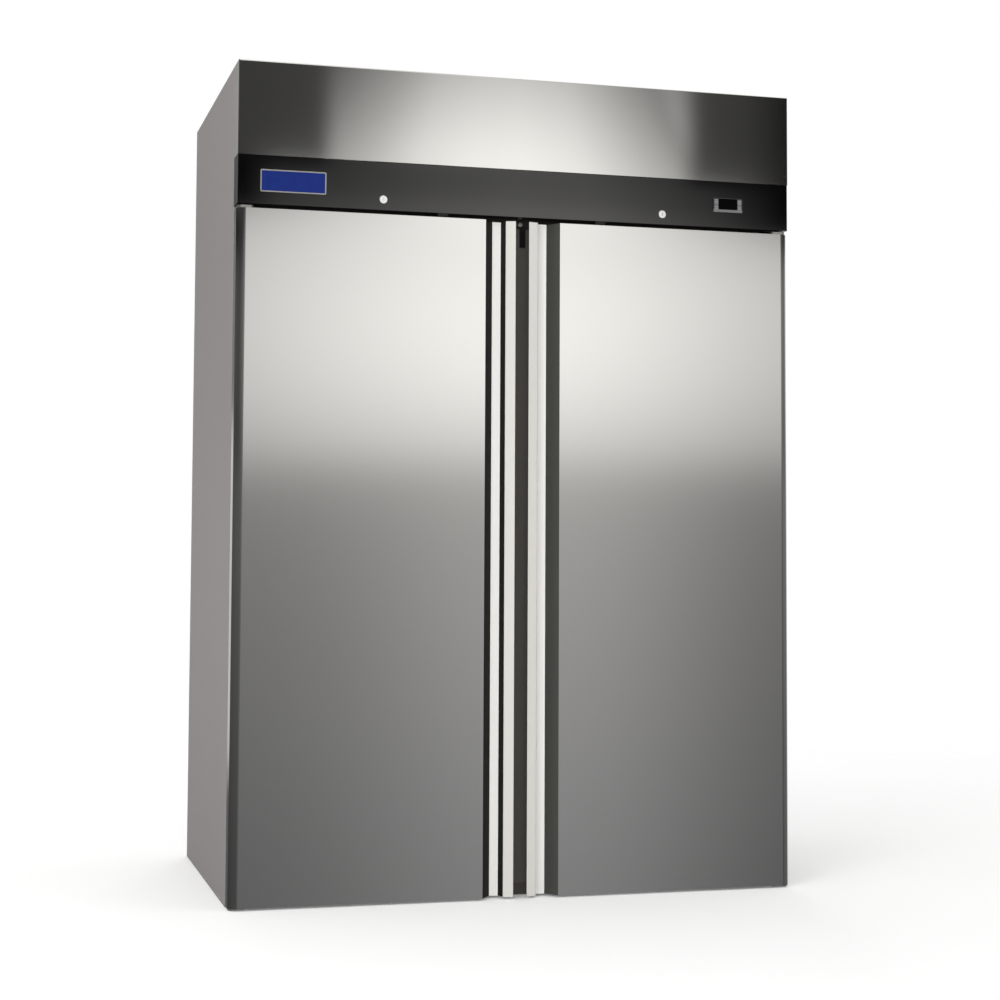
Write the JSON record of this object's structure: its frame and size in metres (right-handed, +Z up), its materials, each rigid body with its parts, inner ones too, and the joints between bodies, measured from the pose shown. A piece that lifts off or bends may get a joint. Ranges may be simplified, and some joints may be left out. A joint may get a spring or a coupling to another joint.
{
  "type": "reach-in freezer",
  "caption": "Tall upright commercial freezer cabinet with hinged full-height doors, recessed vertical grips, key locks, a small controller, inner shelves and a top-mounted cooling unit.",
  "frame": {"origin": "centre of the cabinet's overall footprint, on the floor", "axes": "+Z up, the doors face -Y, +X to the right seen from the front"},
  "size_m": [1.332, 0.815, 1.895],
  "materials": {
    "painted_sheet": "satin",
    "galvanised_sheet": "satin",
    "stainless": "satin",
    "charcoal_plastic": "satin",
    "light_trim": "satin",
    "foam": "matte",
    "white_liner": "satin",
    "grey_plastic": "matte",
    "dark_metal": "satin",
    "black_plastic": "matte",
    "key_grey": "satin",
    "display_glass": "gloss",
    "badge_blue": "gloss",
    "chrome": "polished",
    "plated_steel": "satin",
    "gasket_rubber": "matte",
    "coated_wire": "satin",
    "aluminium_fins": "satin",
    "fan_plastic": "matte",
    "black_paint": "satin",
    "copper": "satin"
  },
  "bodies": {
    "cabinet": {"side_panel_left": "painted_sheet", "side_panel_right": "painted_sheet", "back_panel": "painted_sheet", "top_deck": "galvanised_sheet", "base_pan": "galvanised_sheet", "cabinet_foam": "foam", "liner_sides": "white_liner", "liner_back": "white_liner", "liner_ceiling": "white_liner", "liner_floor": "white_liner", "breaker_strips": "grey_plastic", "mullion": "dark_metal", "mullion_cover": "black_plastic", "header_panel": "stainless", "control_strip": "charcoal_plastic", "badge_plate": "badge_blue", "display_bezel": "black_plastic", "display_window": "display_glass", "door_sensors": "black_plastic", "hinge_brackets": "plated_steel", "screws": "plated_steel", "pilasters": "plated_steel", "shelf_clips": "plated_steel", "shelves_left": "coated_wire", "shelves_right": "coated_wire", "evaporator_cover": "white_liner", "evaporator_coil": "aluminium_fins", "evaporator_motors": "black_paint", "unit_base": "galvanised_sheet", "compressor": "black_paint", "condenser_coil": "aluminium_fins", "condenser_shroud": "galvanised_sheet", "condenser_motor": "black_paint", "refrigerant_lines": "copper", "control_box": "galvanised_sheet", "rear_grille": "galvanised_sheet", "power_gland": "black_plastic"},
    "door_left": {"door_skin_left": "stainless", "door_channel_left": "charcoal_plastic", "door_grip_trim_left": "light_trim", "door_foam_left": "foam", "door_liner_left": "white_liner", "door_caps_left": "grey_plastic", "door_gasket_left": "gasket_rubber"},
    "door_right": {"door_skin_right": "stainless", "door_channel_right": "charcoal_plastic", "door_grip_trim_right": "light_trim", "door_foam_right": "foam", "door_liner_right": "white_liner", "door_caps_right": "grey_plastic", "door_gasket_right": "gasket_rubber"},
    "lock_left": {"lock_left": "chrome"},
    "lock_right": {"lock_right": "chrome"},
    "key_set": {"key_set": "key_grey"},
    "key_defrost": {"key_defrost": "key_grey"},
    "key_up": {"key_up": "key_grey"},
    "key_down": {"key_down": "key_grey"},
    "evaporator_fan_left": {"evaporator_fan_left": "fan_plastic"},
    "evaporator_fan_right": {"evaporator_fan_right": "fan_plastic"},
    "condenser_fan": {"condenser_fan": "fan_plastic"}
  },
  "joints": [
    {"name": "door_left_hinge", "type": "hinge", "parent": "cabinet", "child": "door_left", "pos_m": [-0.648, -0.3835, 0.782], "axis": [0, 0, -1], "range_deg": [0, 110], "stiffness_Nm_per_rad": 3},
    {"name": "door_right_hinge", "type": "hinge", "parent": "cabinet", "child": "door_right", "pos_m": [0.648, -0.3835, 0.782], "axis": [0, 0, 1], "range_deg": [0, 110], "stiffness_Nm_per_rad": 3},
    {"name": "lock_left_turn", "type": "hinge", "parent": "cabinet", "child": "lock_left", "pos_m": [-0.3321, -0.395, 1.593], "axis": [0, 1, 0], "range_deg": [0, 90]},
    {"name": "lock_right_turn", "type": "hinge", "parent": "cabinet", "child": "lock_right", "pos_m": [0.3441, -0.395, 1.593], "axis": [0, -1, 0], "range_deg": [0, 90]},
    {"name": "key_set_press", "type": "slide", "parent": "cabinet", "child": "key_set", "axis": [0, 1, 0], "range_m": [0, 0.001], "stiffness_N_per_m": 400},
    {"name": "key_defrost_press", "type": "slide", "parent": "cabinet", "child": "key_defrost", "axis": [0, 1, 0], "range_m": [0, 0.001], "stiffness_N_per_m": 400},
    {"name": "key_up_press", "type": "slide", "parent": "cabinet", "child": "key_up", "axis": [0, 1, 0], "range_m": [0, 0.001], "stiffness_N_per_m": 400},
    {"name": "key_down_press", "type": "slide", "parent": "cabinet", "child": "key_down", "axis": [0, 1, 0], "range_m": [0, 0.001], "stiffness_N_per_m": 400},
    {"name": "evaporator_fan_left_spin", "type": "hinge", "parent": "cabinet", "child": "evaporator_fan_left", "pos_m": [-0.226, 0.095, 1.4], "axis": [0, 1, 0], "continuous": true},
    {"name": "evaporator_fan_right_spin", "type": "hinge", "parent": "cabinet", "child": "evaporator_fan_right", "pos_m": [0.226, 0.095, 1.4], "axis": [0, 1, 0], "continuous": true},
    {"name": "condenser_fan_spin", "type": "hinge", "parent": "cabinet", "child": "condenser_fan", "pos_m": [0.28238, -0.12382, 1.7135], "axis": [0, 1, 0], "continuous": true}
  ]
}
